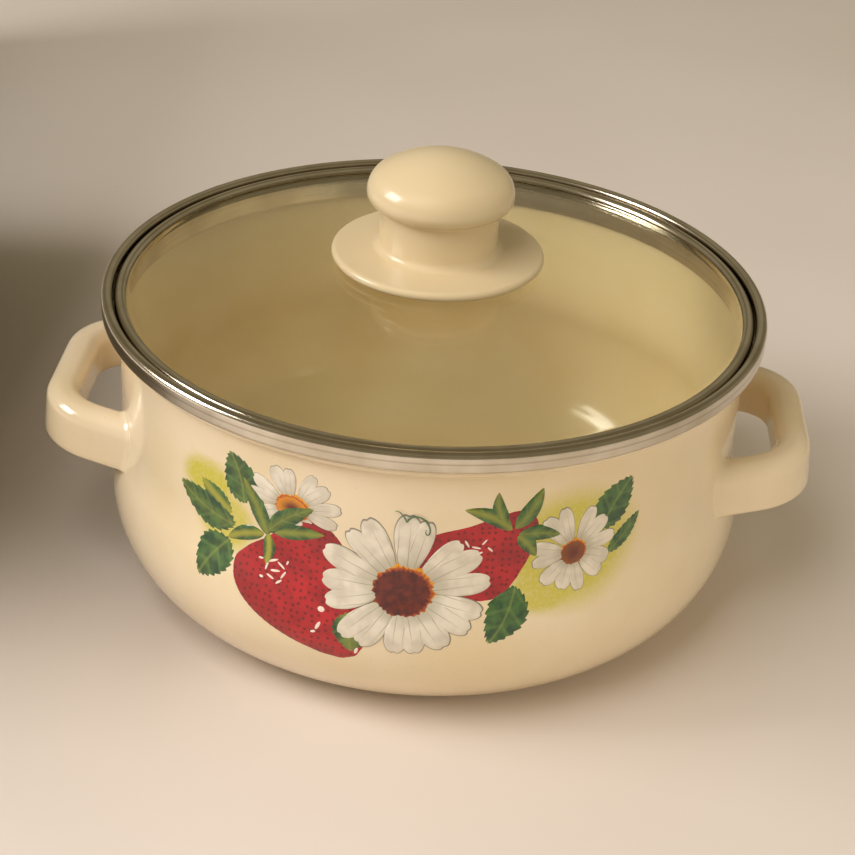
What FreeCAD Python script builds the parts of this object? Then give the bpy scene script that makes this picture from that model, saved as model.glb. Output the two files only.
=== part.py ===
"""Two-handled enamelled saucepan with a glass lid, in millimetres.

The origin is the centre of the base's underside, +Z is up, and the two loop
handles lie along X. Round pieces are spun about Z from a half section, and
each handle is a pressed channel, open below, carried along a flat loop.
"""
import FreeCAD, Part
import math
import os

# ---- driving dimensions, mm ------------------------------------------------
NECK_RADIUS = 101.6          # outside of the straight neck, a 200 mm bore
WALL = 1.4                   # steel sheet with enamel on both faces
BELLY_RADIUS = 105.3         # widest part of the body
CORNER_RADIUS = 36.0         # lower corner, from the base up to the belly
NECK_START = 62.0            # height where the neck runs straight
LIP_TOP = 101.9              # edge of the upturned lip
LIP_RADIUS = 105.6           # outside of the upturned lip
SHOULDER_START = 92.6        # height where the neck flares into the lip's seat
SHOULDER_RADIUS = 2.2        # outside radius of that flare

TRIM_RADIUS = 107.2          # outside of the clinched rim trim
TRIM_BEAD = 1.75             # radius of the trim's rounded top
TRIM_SHEET = 0.5
TRIM_TOP = 103.7
TRIM_BOTTOM = 97.4

GLASS_RADIUS = 100.8
GLASS_BEVEL = 0.6            # ground edges
GLASS_THICKNESS = 3.8
GLASS_CROWN = 115.2          # top of the glass at its centre
DOME_RADIUS = 355.0          # curvature of the top of the glass
GLASS_HOLE = 4.5             # radius of the hole for the knob's screw

BAND_RADIUS = 103.1          # outside of the lid's band
BAND_SHEET = 0.5
BAND_TOP = 102.8
BAND_LIP = 99.3              # inner edge of the band, on top of the glass
BAND_FLOOR = 96.3
BAND_SKIRT_RADIUS = 99.7     # the skirt that drops inside the neck
BAND_SKIRT_END = 90.5

KNOB_FLANGE_RADIUS = 34.1
KNOB_FLANGE_FLOOR = 114.0
KNOB_EDGE = 1.55             # radius of the flange's rounded edge
KNOB_WAIST_RADIUS = 19.0
KNOB_FILLET = 2.5            # between the flange and the waist
KNOB_FLANGE_SLOPE = 3.0      # degrees
KNOB_BALL_RADIUS = 23.5
KNOB_BALL_HALF_HEIGHT = 12.8
KNOB_BALL_EDGE = 8.5         # radius of the grip's rounded side, above its widest line
KNOB_BALL_UNDER = 4.0        # the same below it
KNOB_NECK_FILLET = 2.0       # between the grip and the waist
KNOB_BALL_CENTRE = 136.4
KNOB_WALL = 3.2
BOSS_RADIUS = 8.0

SCREW_RADIUS = 2.5
INSERT_RADIUS = 4.0
INSERT_LENGTH = 14.0
GASKET_THICKNESS = 1.0
GASKET_RADIUS = 11.0
WASHER_RADIUS = 10.0
WASHER_THICKNESS = 1.2
HEAD_RADIUS = 4.8
HEAD_HEIGHT = 2.8

HANDLE_HEIGHT = 15.9         # channel, from its crown to the edge of its outer wall
HANDLE_DEPTH = 11.0          # channel, outer face to inner face
HANDLE_INNER = 14.6          # height of the channel's inner wall
HANDLE_SHEET = 1.6
HANDLE_EDGE = 5.0            # rounded outer shoulder of the channel
HANDLE_INNER_EDGE = 4.5      # rounded inner shoulder
HANDLE_REACH = 125.8         # outer face of the loop, from the pot's axis
HANDLE_HALF_SPAN = 27.4      # half the loop's width at its outer bar
HANDLE_SPLAY = 16.5          # degrees that each arm spreads towards the pot
HANDLE_BEND = 18.5           # loop's corner radius at the channel's middle
HANDLE_LEVEL = 50.0          # height of the outer wall's edge at the pot
HANDLE_RISE = 5.1            # degrees that the loop tips up
HANDLE_ROOT = 90.0           # where the arms start, inside the wall

BOSS_FLOOR = GLASS_CROWN + GASKET_THICKNESS
GASKET_SAG = 0.15            # the glass curves down this far under the gasket's edge
GASKET_TOP = GLASS_CROWN - GLASS_THICKNESS - GASKET_SAG
WASHER_FLOOR = GASKET_TOP - GASKET_THICKNESS - WASHER_THICKNESS

AXIS = FreeCAD.Vector(0, 0, 1)
ORIGIN = FreeCAD.Vector(0, 0, 0)


class Outline:
    """A half section in the XZ plane, drawn one edge at a time."""

    def __init__(self, r, z):
        self.at = FreeCAD.Vector(r, 0, z)
        self.edges = []

    def line(self, r, z):
        """Draw a straight edge to (r, z)."""
        end = FreeCAD.Vector(r, 0, z)
        self.edges.append(Part.LineSegment(self.at, end).toShape())
        self.at = end
        return self

    def arc(self, centre_r, centre_z, degrees):
        """Turn about a centre: positive degrees run from +X towards +Z."""
        centre = FreeCAD.Vector(centre_r, 0, centre_z)
        arm = self.at - centre
        points = [centre + turned(arm, degrees * share) for share in (0.5, 1.0)]
        self.edges.append(Part.Arc(self.at, points[0], points[1]).toShape())
        self.at = points[1]
        return self

    def wire(self):
        """Return the edges as one wire."""
        return Part.Wire(self.edges)

    def closed(self):
        """Close the outline with a straight edge and return its face."""
        start = self.edges[0].Vertexes[0].Point
        if (start - self.at).Length > 1e-6:
            self.line(start.x, start.z)
        return Part.Face(Part.Wire(self.edges))


def turned(arm, degrees):
    """Turn a vector in the XZ plane, from +X towards +Z."""
    angle = math.radians(degrees)
    return FreeCAD.Vector(arm.x * math.cos(angle) - arm.z * math.sin(angle), 0,
                          arm.x * math.sin(angle) + arm.z * math.cos(angle))


def spin(face):
    """Revolve a half section about Z into a solid."""
    return face.revolve(ORIGIN, AXIS, 360)


def sheet(wire, thickness):
    """Thicken a flat open wire into a face, on the left of the way it is drawn."""
    return wire.makeOffset2D(thickness, 0, True, True)


def tube(inner, outer, bottom, top):
    """Return a round tube, or a plain disc where the inner radius is zero."""
    solid = Part.makeCylinder(outer, top - bottom, FreeCAD.Vector(0, 0, bottom))
    if inner:
        solid = solid.cut(Part.makeCylinder(inner, top - bottom, FreeCAD.Vector(0, 0, bottom)))
    return solid


def body_outline():
    """Return the pot's outer face: base, round corner, belly, neck and lip."""
    belly_to_neck = BELLY_RADIUS - NECK_RADIUS
    rise = (NECK_START - CORNER_RADIUS) / 2
    sweep_radius = (rise ** 2 + (belly_to_neck / 2) ** 2) / belly_to_neck
    sweep = math.degrees(math.asin(rise / sweep_radius))
    corner_centre = BELLY_RADIUS - CORNER_RADIUS
    flare_centre = NECK_RADIUS + SHOULDER_RADIUS
    lip_bend = LIP_RADIUS - flare_centre
    outline = Outline(0, 0).line(corner_centre, 0)
    outline.arc(corner_centre, CORNER_RADIUS, 90)
    outline.arc(BELLY_RADIUS - sweep_radius, CORNER_RADIUS, sweep)
    outline.arc(NECK_RADIUS + sweep_radius, NECK_START, -sweep)
    outline.line(NECK_RADIUS, SHOULDER_START)
    outline.arc(flare_centre, SHOULDER_START, -90)
    outline.arc(flare_centre, SHOULDER_START + SHOULDER_RADIUS + lip_bend, 90)
    outline.line(LIP_RADIUS, LIP_TOP)
    return outline


def pot_body():
    """Return the drawn shell: one wall thickness from the base to the lip."""
    return spin(sheet(body_outline().wire(), WALL))


def pot_envelope():
    """Return the space inside the pot's outer face, as a solid."""
    outline = body_outline()
    outline.line(0, LIP_TOP)
    return spin(outline.closed())


def rim_trim():
    """Return the polished trim: an upside-down channel clinched over the lip."""
    centre = TRIM_RADIUS - TRIM_BEAD
    level = TRIM_TOP - TRIM_BEAD
    curl = 1.3
    outline = Outline(TRIM_RADIUS - curl * 0.5, TRIM_BOTTOM)
    outline.arc(TRIM_RADIUS - curl, TRIM_BOTTOM + curl * math.sin(math.radians(60)), 60)
    outline.line(TRIM_RADIUS, level)
    outline.arc(centre, level, 180)
    outline.line(centre - TRIM_BEAD, TRIM_BOTTOM + 0.8)
    return spin(sheet(outline.wire(), TRIM_SHEET))


def handle_path():
    """Return the middle line of a loop handle, from arm to arm, at height zero."""
    bar = HANDLE_REACH - HANDLE_DEPTH / 2
    slope = math.tan(math.radians(HANDLE_SPLAY))
    turn = math.radians(90 - HANDLE_SPLAY)
    tangent = HANDLE_BEND * math.tan(turn / 2)
    flat = HANDLE_HALF_SPAN - tangent
    bend_x = bar - tangent * math.cos(math.radians(HANDLE_SPLAY))
    bend_y = HANDLE_HALF_SPAN + tangent * math.sin(math.radians(HANDLE_SPLAY))
    root_y = HANDLE_HALF_SPAN + (bar - HANDLE_ROOT) * slope
    middle = FreeCAD.Vector(bar - HANDLE_BEND * (1 - math.cos(turn / 2)),
                            flat + HANDLE_BEND * math.sin(turn / 2), 0)

    def flipped(point):
        return FreeCAD.Vector(point.x, -point.y, point.z)

    root = FreeCAD.Vector(HANDLE_ROOT, root_y, 0)
    bend = FreeCAD.Vector(bend_x, bend_y, 0)
    edge = FreeCAD.Vector(bar, flat, 0)
    edges = [Part.LineSegment(flipped(root), flipped(bend)),
             Part.Arc(flipped(bend), flipped(middle), flipped(edge)),
             Part.LineSegment(flipped(edge), edge),
             Part.Arc(edge, middle, bend),
             Part.LineSegment(bend, root)]
    return Part.Wire([edge_curve.toShape() for edge_curve in edges])


def handle_section():
    """Return the channel's section in the XZ plane: outer wall, round crown, inner wall."""
    face = HANDLE_DEPTH / 2
    outline = Outline(face, 0).line(face, HANDLE_HEIGHT - HANDLE_EDGE)
    outline.arc(face - HANDLE_EDGE, HANDLE_HEIGHT - HANDLE_EDGE, 90)
    outline.line(HANDLE_INNER_EDGE - face, HANDLE_HEIGHT)
    outline.arc(HANDLE_INNER_EDGE - face, HANDLE_HEIGHT - HANDLE_INNER_EDGE, 90)
    outline.line(-face, HANDLE_HEIGHT - HANDLE_INNER)
    return sheet(outline.wire(), HANDLE_SHEET)


def handle(side):
    """Return one loop handle, pressed from sheet; side is +1 or -1 along X."""
    path = handle_path()
    section = handle_section().OuterWire
    section.translate(FreeCAD.Vector(HANDLE_REACH - HANDLE_DEPTH / 2, 0, 0))
    channel = swept(path, section)
    pivot = FreeCAD.Vector(NECK_RADIUS, 0, HANDLE_HEIGHT / 2)
    channel.rotate(pivot, FreeCAD.Vector(0, 1, 0), -HANDLE_RISE)
    channel.translate(FreeCAD.Vector(0, 0, HANDLE_LEVEL))
    channel = channel.cut(pot_envelope())
    if side < 0:
        channel.rotate(ORIGIN, AXIS, 180)
    return channel


def swept(path, section):
    """Carry the section along the path, built outwards from the middle edge."""
    middle = path.Edges[2]
    pieces = []
    for edges in (path.Edges[2:], [middle] + path.Edges[1::-1]):
        half = section.copy()
        run = Part.Wire(Part.sortEdges(edges)[0])
        pieces.append(run.makePipeShell([half], True, False))
    return pieces[0].fuse(pieces[1]).removeSplitter()


def lid_glass():
    """Return the domed glass with its centre hole."""
    centre = GLASS_CROWN - DOME_RADIUS
    dome = tube(0, GLASS_RADIUS, BAND_FLOOR - GLASS_THICKNESS, GLASS_CROWN + 1)
    dome = dome.common(Part.makeSphere(DOME_RADIUS, FreeCAD.Vector(0, 0, centre)))
    hollow = Part.makeSphere(DOME_RADIUS - GLASS_THICKNESS, FreeCAD.Vector(0, 0, centre))
    glass = dome.cut(hollow)
    rims = [edge for edge in glass.Edges if abs(edge.BoundBox.XMax - GLASS_RADIUS) < 0.01
            and edge.BoundBox.ZLength < 0.01]
    glass = glass.makeChamfer(GLASS_BEVEL, rims)
    return glass.cut(tube(0, GLASS_HOLE, 0, 2 * GLASS_CROWN))


def lid_band():
    """Return the lid's band: a bead over the glass edge and a skirt in the neck."""
    bead = (BAND_RADIUS - BAND_LIP) / 2
    bead_top = BAND_TOP - bead
    foot = 0.8
    outline = Outline(BAND_SKIRT_RADIUS, BAND_SKIRT_END)
    outline.line(BAND_SKIRT_RADIUS, BAND_FLOOR - foot)
    outline.arc(BAND_SKIRT_RADIUS + foot, BAND_FLOOR - foot, -90)
    outline.line(BAND_RADIUS - foot, BAND_FLOOR)
    outline.arc(BAND_RADIUS - foot, BAND_FLOOR + foot, 90)
    outline.line(BAND_RADIUS, bead_top)
    outline.arc(BAND_RADIUS - bead, bead_top, 168)
    return spin(sheet(outline.wire(), BAND_SHEET))


def knob():
    """Return the moulded knob: a round grip, a waist and a flange, hollow below."""
    outer = spin(knob_outline().closed())
    hollow = spin(knob_hollow().closed())
    seat = tube(0, BOSS_RADIUS, KNOB_FLANGE_FLOOR, BOSS_FLOOR)
    bore = tube(0, INSERT_RADIUS, BOSS_FLOOR, BOSS_FLOOR + INSERT_LENGTH)
    return outer.cut(hollow).cut(seat).cut(bore)


def knob_outline():
    """Return the knob's outer half section, from the flange's floor to its crown."""
    edge_r = KNOB_FLANGE_RADIUS - KNOB_EDGE
    waist = KNOB_WAIST_RADIUS
    slope = math.radians(KNOB_FLANGE_SLOPE)
    outline = Outline(0, KNOB_FLANGE_FLOOR).line(edge_r, KNOB_FLANGE_FLOOR)
    outline.arc(edge_r, KNOB_FLANGE_FLOOR + KNOB_EDGE, 180 - KNOB_FLANGE_SLOPE)
    foot_r = waist + KNOB_FILLET * (1 - math.sin(slope))
    foot_z = outline.at.z + (outline.at.x - foot_r) * math.tan(slope)
    outline.line(foot_r, foot_z)
    outline.arc(waist + KNOB_FILLET, foot_z + KNOB_FILLET * math.cos(slope), KNOB_FLANGE_SLOPE - 90)
    side_centre = KNOB_BALL_RADIUS - KNOB_BALL_EDGE
    under_centre = KNOB_BALL_RADIUS - KNOB_BALL_UNDER
    gap = waist + KNOB_NECK_FILLET - under_centre
    dip = math.acos(gap / (KNOB_BALL_UNDER + KNOB_NECK_FILLET))
    neck_z = KNOB_BALL_CENTRE - (KNOB_BALL_UNDER + KNOB_NECK_FILLET) * math.sin(dip)
    outline.line(waist, neck_z)
    outline.arc(waist + KNOB_NECK_FILLET, neck_z, -math.degrees(dip))
    outline.arc(under_centre, KNOB_BALL_CENTRE, math.degrees(dip))
    crown = (side_centre ** 2 + KNOB_BALL_HALF_HEIGHT ** 2 - KNOB_BALL_EDGE ** 2)
    crown /= 2 * (KNOB_BALL_HALF_HEIGHT - KNOB_BALL_EDGE)
    crown_drop = crown - KNOB_BALL_HALF_HEIGHT
    meet = math.degrees(math.atan2(crown_drop, side_centre))
    outline.arc(side_centre, KNOB_BALL_CENTRE, meet)
    outline.arc(0, KNOB_BALL_CENTRE - crown_drop, 90 - meet)
    return outline


def knob_hollow():
    """Return the half section of the hollow round the knob's central boss."""
    inner = KNOB_WAIST_RADIUS - KNOB_WALL
    ceiling = KNOB_BALL_CENTRE + KNOB_BALL_HALF_HEIGHT - 3 * KNOB_WALL
    outline = Outline(BOSS_RADIUS, KNOB_FLANGE_FLOOR)
    outline.line(KNOB_FLANGE_RADIUS - KNOB_WALL, KNOB_FLANGE_FLOOR)
    outline.line(KNOB_FLANGE_RADIUS - 1.3 * KNOB_WALL, KNOB_FLANGE_FLOOR + 0.4 * KNOB_WALL)
    outline.line(inner + KNOB_WALL, KNOB_FLANGE_FLOOR + KNOB_WALL)
    outline.line(inner, KNOB_FLANGE_FLOOR + 2 * KNOB_WALL)
    outline.line(inner, ceiling - KNOB_WALL)
    outline.line(inner - KNOB_WALL, ceiling)
    outline.line(BOSS_RADIUS, ceiling)
    return outline


def lid_screw():
    """Return the pan-head screw that holds the knob, with a cross recess."""
    shank = tube(0, SCREW_RADIUS, WASHER_FLOOR, BOSS_FLOOR + INSERT_LENGTH - 3)
    head = tube(0, HEAD_RADIUS, WASHER_FLOOR - HEAD_HEIGHT, WASHER_FLOOR)
    rim = [edge for edge in head.Edges if edge.BoundBox.ZMax < WASHER_FLOOR - HEAD_HEIGHT / 2]
    head = head.makeFillet(HEAD_HEIGHT / 2, rim[:1])
    slot_length, slot_width, slot_depth = HEAD_RADIUS, 1.0, HEAD_HEIGHT / 2
    floor = WASHER_FLOOR - HEAD_HEIGHT
    screw = shank.fuse(head).removeSplitter()
    for length, width in ((slot_length, slot_width), (slot_width, slot_length)):
        corner = FreeCAD.Vector(-length / 2, -width / 2, floor - 1)
        screw = screw.cut(Part.makeBox(length, width, slot_depth + 1, corner))
    return screw


def build():
    """Return every piece by its node name."""
    return {
        "pot_body": pot_body(),
        "rim_trim": rim_trim(),
        "handle_right": handle(+1),
        "handle_left": handle(-1),
        "lid_glass": lid_glass(),
        "lid_band": lid_band(),
        "knob": knob(),
        "knob_insert": tube(SCREW_RADIUS, INSERT_RADIUS, BOSS_FLOOR, BOSS_FLOOR + INSERT_LENGTH),
        "knob_gasket": tube(SCREW_RADIUS, GASKET_RADIUS, GLASS_CROWN, BOSS_FLOOR),
        "glass_gasket": tube(SCREW_RADIUS, WASHER_RADIUS, WASHER_FLOOR + WASHER_THICKNESS, GASKET_TOP),
        "lid_washer": tube(SCREW_RADIUS, WASHER_RADIUS, WASHER_FLOOR, WASHER_FLOOR + WASHER_THICKNESS),
        "lid_screw": lid_screw(),
    }


def main():
    """Build every piece and write one STEP file for each."""
    os.makedirs("parts", exist_ok=True)
    for name, shape in build().items():
        solid = shape.Solids[0] if len(shape.Solids) == 1 else shape
        solid.exportStep(f"parts/{name}.step")
        box = solid.BoundBox
        print(f"{name:14s} valid {solid.isValid()} solids {len(shape.Solids)} "
              f"volume {solid.Volume:10.1f} z {box.ZMin:7.2f} to {box.ZMax:7.2f} x to {box.XMax:7.2f}")


main()
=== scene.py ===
"""Two-handled enamelled pot with a domed glass lid: the finished look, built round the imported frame.

Sizes are in millimetres and turned to metres where a mesh is made. The pot stands on z = 0 with its
axis on +Z and its loop handles along X. The printed flowers face -Y.
"""
import logging
import math
from dataclasses import dataclass
from enum import Enum
from typing import Callable

import bpy
import numpy as np
from mathutils import Matrix


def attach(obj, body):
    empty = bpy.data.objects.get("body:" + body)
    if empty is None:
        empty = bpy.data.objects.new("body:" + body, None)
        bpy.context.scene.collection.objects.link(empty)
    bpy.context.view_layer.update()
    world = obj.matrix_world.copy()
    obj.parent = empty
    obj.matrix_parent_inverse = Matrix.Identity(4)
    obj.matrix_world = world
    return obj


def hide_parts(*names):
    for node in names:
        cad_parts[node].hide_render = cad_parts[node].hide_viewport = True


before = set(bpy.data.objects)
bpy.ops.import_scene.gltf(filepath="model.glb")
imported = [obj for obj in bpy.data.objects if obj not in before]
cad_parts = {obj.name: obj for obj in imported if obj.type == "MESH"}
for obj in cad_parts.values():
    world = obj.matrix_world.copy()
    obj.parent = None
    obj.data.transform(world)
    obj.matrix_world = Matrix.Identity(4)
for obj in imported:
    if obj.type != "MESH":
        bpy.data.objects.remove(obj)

LOG = logging.getLogger("pot")
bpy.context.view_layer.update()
MM = 0.001
Array = np.ndarray


# ---- shapes ----------------------------------------------------------------
class Section:
    """A half section in (radius, height), drawn one edge at a time, in mm."""

    def __init__(self, r: float, z: float) -> None:
        """Start the outline at (r, z)."""
        self.points = np.array([[r, z]], float)

    def line(self, r: float, z: float, steps: int = 5) -> "Section":
        """Draw a straight edge, with points gathered near its ends so that shading stays flat.

        Args:
            r: Radius of the edge's end.
            z: Height of the edge's end.
            steps: How many spans the edge is divided into.

        Returns:
            The same section, so that edges can be chained.
        """
        share = 0.5 - 0.5 * np.cos(np.pi * np.arange(1, steps + 1) / steps)
        start = self.points[-1]
        self.points = np.vstack((self.points, start + share[:, None] * (np.array([r, z]) - start)))
        return self

    def arc(self, centre_r: float, centre_z: float, degrees: float, step: float = 9.0) -> "Section":
        """Turn about a centre: the last point's arm is rotated evenly through the given angle.

        Args:
            centre_r: Radius of the arc's centre.
            centre_z: Height of the arc's centre.
            degrees: Angle of the turn, positive from +r towards +z.
            step: Largest angle between two points, in degrees.

        Returns:
            The same section.
        """
        count = max(2, math.ceil(abs(degrees) / step))
        angle = np.radians(degrees) * np.arange(1, count + 1) / count
        centre = np.array([centre_r, centre_z])
        arm = self.points[-1] - centre
        turned = np.column_stack((arm[0] * np.cos(angle) - arm[1] * np.sin(angle),
                                  arm[0] * np.sin(angle) + arm[1] * np.cos(angle)))
        self.points = np.vstack((self.points, centre + turned))
        return self


def across(outline: Array, closed: bool = False) -> Array:
    """Return each point's unit normal, on the left of the way the outline runs."""
    ahead = np.roll(outline, -1, axis=0)
    behind = np.roll(outline, 1, axis=0)
    if not closed:
        ahead[-1] = outline[-1]
        behind[0] = outline[0]
    along = ahead - behind
    along = along / np.linalg.norm(along, axis=1, keepdims=True)
    return np.column_stack((-along[:, 1], along[:, 0]))


def sheet_loop(outline: Array, thickness: float, round_ends: int = 5) -> Array:
    """Thicken an open outline on its left and round both cut edges with half circles.

    Args:
        outline: Points of the outer face.
        thickness: Sheet thickness, in mm.
        round_ends: Points on each rounded edge.

    Returns:
        The closed loop of points: outer face, far edge, inner face, near edge.
    """
    normal = across(outline)
    inner = outline + thickness * normal
    half = thickness / 2
    angle = np.pi * np.arange(1, round_ends + 1) / (round_ends + 1)
    loops = []
    for end, sign in ((-1, 1.0), (0, -1.0)):
        side = normal[end] * half
        ahead = sign * np.array([normal[end][1], -normal[end][0]]) * half
        middle = outline[end] + side
        loops.append(middle - sign * np.cos(angle)[:, None] * side + np.sin(angle)[:, None] * ahead)
    return np.vstack((outline, loops[0], inner[::-1], loops[1]))


@dataclass
class Surface:
    """Points in mm with quads and triangles, and values held at each point."""

    points: Array
    quads: Array
    triangles: Array
    values: dict[str, Array]

    @staticmethod
    def joined(parts: list["Surface"]) -> "Surface":
        """Put several surfaces into one, keeping their values."""
        starts = np.cumsum([0] + [len(part.points) for part in parts])
        return Surface(np.vstack([part.points for part in parts]),
                       np.vstack([part.quads + start for part, start in zip(parts, starts)]),
                       np.vstack([part.triangles + start for part, start in zip(parts, starts)]),
                       {name: np.concatenate([part.values[name] for part in parts])
                        for name in parts[0].values})

    def volume(self) -> float:
        """Return the signed volume: a sixth of the sum of each triangle's triple product."""
        fans = np.vstack((self.quads[:, [0, 1, 2]], self.quads[:, [0, 2, 3]], self.triangles))
        a, b, c = (self.points[fans[:, corner]] for corner in range(3))
        return float(np.einsum("ij,ij->i", a, np.cross(b, c)).sum() / 6)

    def outward(self) -> "Surface":
        """Turn the faces round if they point inwards."""
        if self.volume() < 0:
            self.quads = self.quads[:, ::-1]
            self.triangles = self.triangles[:, ::-1]
        return self


def woven(grid: Array, rows_closed: bool, columns_closed: bool, values: dict[str, Array]) -> Surface:
    """Join a grid of points, rows by columns, into quads.

    A first or last row whose points all coincide is a pole: it becomes one point with a fan.

    Args:
        grid: Points, shape (rows, columns, 3).
        rows_closed: Whether the last row joins the first.
        columns_closed: Whether the last column joins the first.
        values: Arrays of shape (rows, columns, ...) to carry at the points.

    Returns:
        The surface, with no doubled pole points.
    """
    rows, columns = grid.shape[:2]
    index = np.arange(rows * columns).reshape(rows, columns)
    poles = [] if rows_closed else [row for row in (0, -1) if np.ptp(grid[row], axis=0).max() < 1e-9]
    for row in poles:
        index[row] = index[row, 0]
    below = np.vstack((index, index[:1])) if rows_closed else index
    below = np.hstack((below, below[:, :1])) if columns_closed else below
    quads = np.stack((below[:-1, :-1], below[:-1, 1:], below[1:, 1:], below[1:, :-1]), axis=-1)
    fans = [quads[0][:, [0, 2, 3]]] if 0 in poles else []
    fans += [quads[-1][:, [0, 1, 2]]] if -1 in poles else []
    kept = quads[1 if 0 in poles else 0:len(quads) - (1 if -1 in poles else 0)].reshape(-1, 4)
    triangles = np.vstack(fans) if fans else np.zeros((0, 3), int)
    used, back = np.unique(np.concatenate((kept.ravel(), triangles.ravel())), return_inverse=True)
    flat = {name: array.reshape((rows * columns,) + array.shape[2:])[used]
            for name, array in values.items()}
    return Surface(grid.reshape(-1, 3)[used], back[:kept.size].reshape(-1, 4),
                   back[kept.size:].reshape(-1, 3), flat).outward()


def turned(section: Array, columns: int = 288, closed: bool = True) -> Surface:
    """Spin a half section about Z: each point (r, z) goes to (r cos a, r sin a, z) for every angle a.

    Args:
        section: Points (r, z) in mm.
        columns: How many angles go round.
        closed: True for a ring's closed loop, False for an outline that runs from axis to axis.

    Returns:
        The closed surface.
    """
    angle = 2 * np.pi * np.arange(columns) / columns
    radius = section[:, :1]
    grid = np.stack((radius * np.cos(angle), radius * np.sin(angle),
                     np.broadcast_to(section[:, 1:], (len(section), columns))), axis=-1)
    return woven(grid, closed, True, {})


def placed(name: str, surface: Surface, material: bpy.types.Material, body: str, slot: str,
           *nodes: str) -> bpy.types.Object:
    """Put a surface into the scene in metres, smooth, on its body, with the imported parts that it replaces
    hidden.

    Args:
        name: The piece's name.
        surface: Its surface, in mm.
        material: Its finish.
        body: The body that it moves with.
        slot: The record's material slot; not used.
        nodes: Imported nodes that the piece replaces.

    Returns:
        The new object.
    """
    mesh = bpy.data.meshes.new(name)
    mesh.from_pydata((surface.points * MM).tolist(), [],
                     surface.quads.tolist() + surface.triangles.tolist())
    for label, array in surface.values.items():
        kind = "FLOAT_VECTOR" if array.ndim == 2 else "FLOAT"
        field = mesh.attributes.new(label, kind, "POINT")
        field.data.foreach_set("vector" if array.ndim == 2 else "value", array.astype(np.float32).ravel())
    mesh.polygons.foreach_set("use_smooth", np.ones(len(mesh.polygons), bool))
    mesh.materials.append(material)
    mesh.validate()
    piece = bpy.data.objects.new(name, mesh)
    bpy.context.scene.collection.objects.link(piece)
    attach(piece, body)
    if nodes:
        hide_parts(*nodes)
    LOG.info("%s: %d faces on %s", name, len(mesh.polygons), body)
    return piece


# ---- finishes --------------------------------------------------------------
def linear(code: str) -> tuple[float, float, float, float]:
    """Turn an sRGB hex colour into linear RGBA."""
    parts = [int(code[place:place + 2], 16) / 255 for place in (1, 3, 5)]
    values = [part / 12.92 if part <= 0.04045 else ((part + 0.055) / 1.055) ** 2.4 for part in parts]
    return (values[0], values[1], values[2], 1.0)


class Graph:
    """A material's node tree, with its shader ready and positions in mm to hand."""

    def __init__(self, name: str, **shader: object) -> None:
        """Make the material and set constant values straight on its shader's sockets."""
        self.material = bpy.data.materials.new(name)
        self.material.use_nodes = True
        self.tree = self.material.node_tree
        self.tree.nodes.clear()
        self.output = self.add("ShaderNodeOutputMaterial")
        self.shader = self.add("ShaderNodeBsdfPrincipled",
                               {key.replace("_", " "): value for key, value in shader.items()})
        self.join(self.shader.outputs["BSDF"], self.output.inputs["Surface"])
        place = self.add("ShaderNodeTexCoord").outputs["Object"]
        self.mm = self.add("ShaderNodeVectorMath", {0: place, 1: (1 / MM,) * 3},
                           operation="MULTIPLY").outputs[0]

    def add(self, kind: str, inputs: dict | None = None, **settings: object) -> bpy.types.Node:
        """Add a node with its settings, and set or link its inputs.

        Args:
            kind: The node's type.
            inputs: Socket name or number to a value, a hex colour or another node's output.
            settings: Properties of the node.

        Returns:
            The node.
        """
        node = self.tree.nodes.new(kind)
        for key, value in settings.items():
            setattr(node, key, value)
        for key, value in (inputs or {}).items():
            if isinstance(value, bpy.types.NodeSocket):
                self.join(value, node.inputs[key])
            else:
                is_colour = isinstance(value, str)
                node.inputs[key].default_value = linear(value) if is_colour else value
        return node

    def join(self, source: bpy.types.NodeSocket, target: bpy.types.NodeSocket) -> None:
        """Link one socket to another."""
        self.tree.links.new(source, target)

    def feed(self, socket: str, source: bpy.types.NodeSocket) -> None:
        """Link a socket to one of the shader's inputs."""
        self.join(source, self.shader.inputs[socket])

    def noise(self, size: float, detail: float = 2.0, stretch: tuple = (1, 1, 1)) -> bpy.types.NodeSocket:
        """Return noise whose lumps are about size mm across, drawn out by the stretch."""
        place = self.add("ShaderNodeMapping", {"Vector": self.mm,
                                               "Scale": tuple(1 / (size * part) for part in stretch)})
        return self.add("ShaderNodeTexNoise", {"Vector": place.outputs[0], "Scale": 1.0,
                                               "Detail": detail}).outputs["Fac"]

    def mix(self, share: object, low: object, high: object) -> bpy.types.NodeSocket:
        """Return a colour between two, by a share or by another socket."""
        return self.add("ShaderNodeMix", {0: share, 6: low, 7: high}, data_type="RGBA").outputs[2]

    def math(self, operation: str, *values: object) -> bpy.types.NodeSocket:
        """Return the result of one sum on numbers or sockets."""
        return self.add("ShaderNodeMath", dict(enumerate(values)), operation=operation).outputs[0]

    def band(self, value: object, low: float, high: float, start: float = 0.0,
             end: float = 1.0) -> bpy.types.NodeSocket:
        """Return start below low, end above high, and an eased value between."""
        node = self.add("ShaderNodeMapRange", {0: value, 1: low, 2: high, 3: start, 4: end},
                        interpolation_type="SMOOTHSTEP")
        return node.outputs[0]

    def bump(self, height: object, depth_mm: float, strength: float = 1.0) -> None:
        """Raise the surface by the height, whose full range is depth_mm."""
        node = self.add("ShaderNodeBump", {"Height": height, "Strength": strength,
                                           "Distance": depth_mm * MM})
        self.feed("Normal", node.outputs[0])

    def split(self, vector: bpy.types.NodeSocket) -> bpy.types.NodeOutputs:
        """Return a vector's three parts."""
        return self.add("ShaderNodeSeparateXYZ", {0: vector}).outputs

    def value(self, name: str, vector: bool = False) -> bpy.types.NodeSocket:
        """Return a value that the piece holds at its points."""
        return self.add("ShaderNodeAttribute", attribute_name=name).outputs["Vector" if vector else "Fac"]


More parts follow.
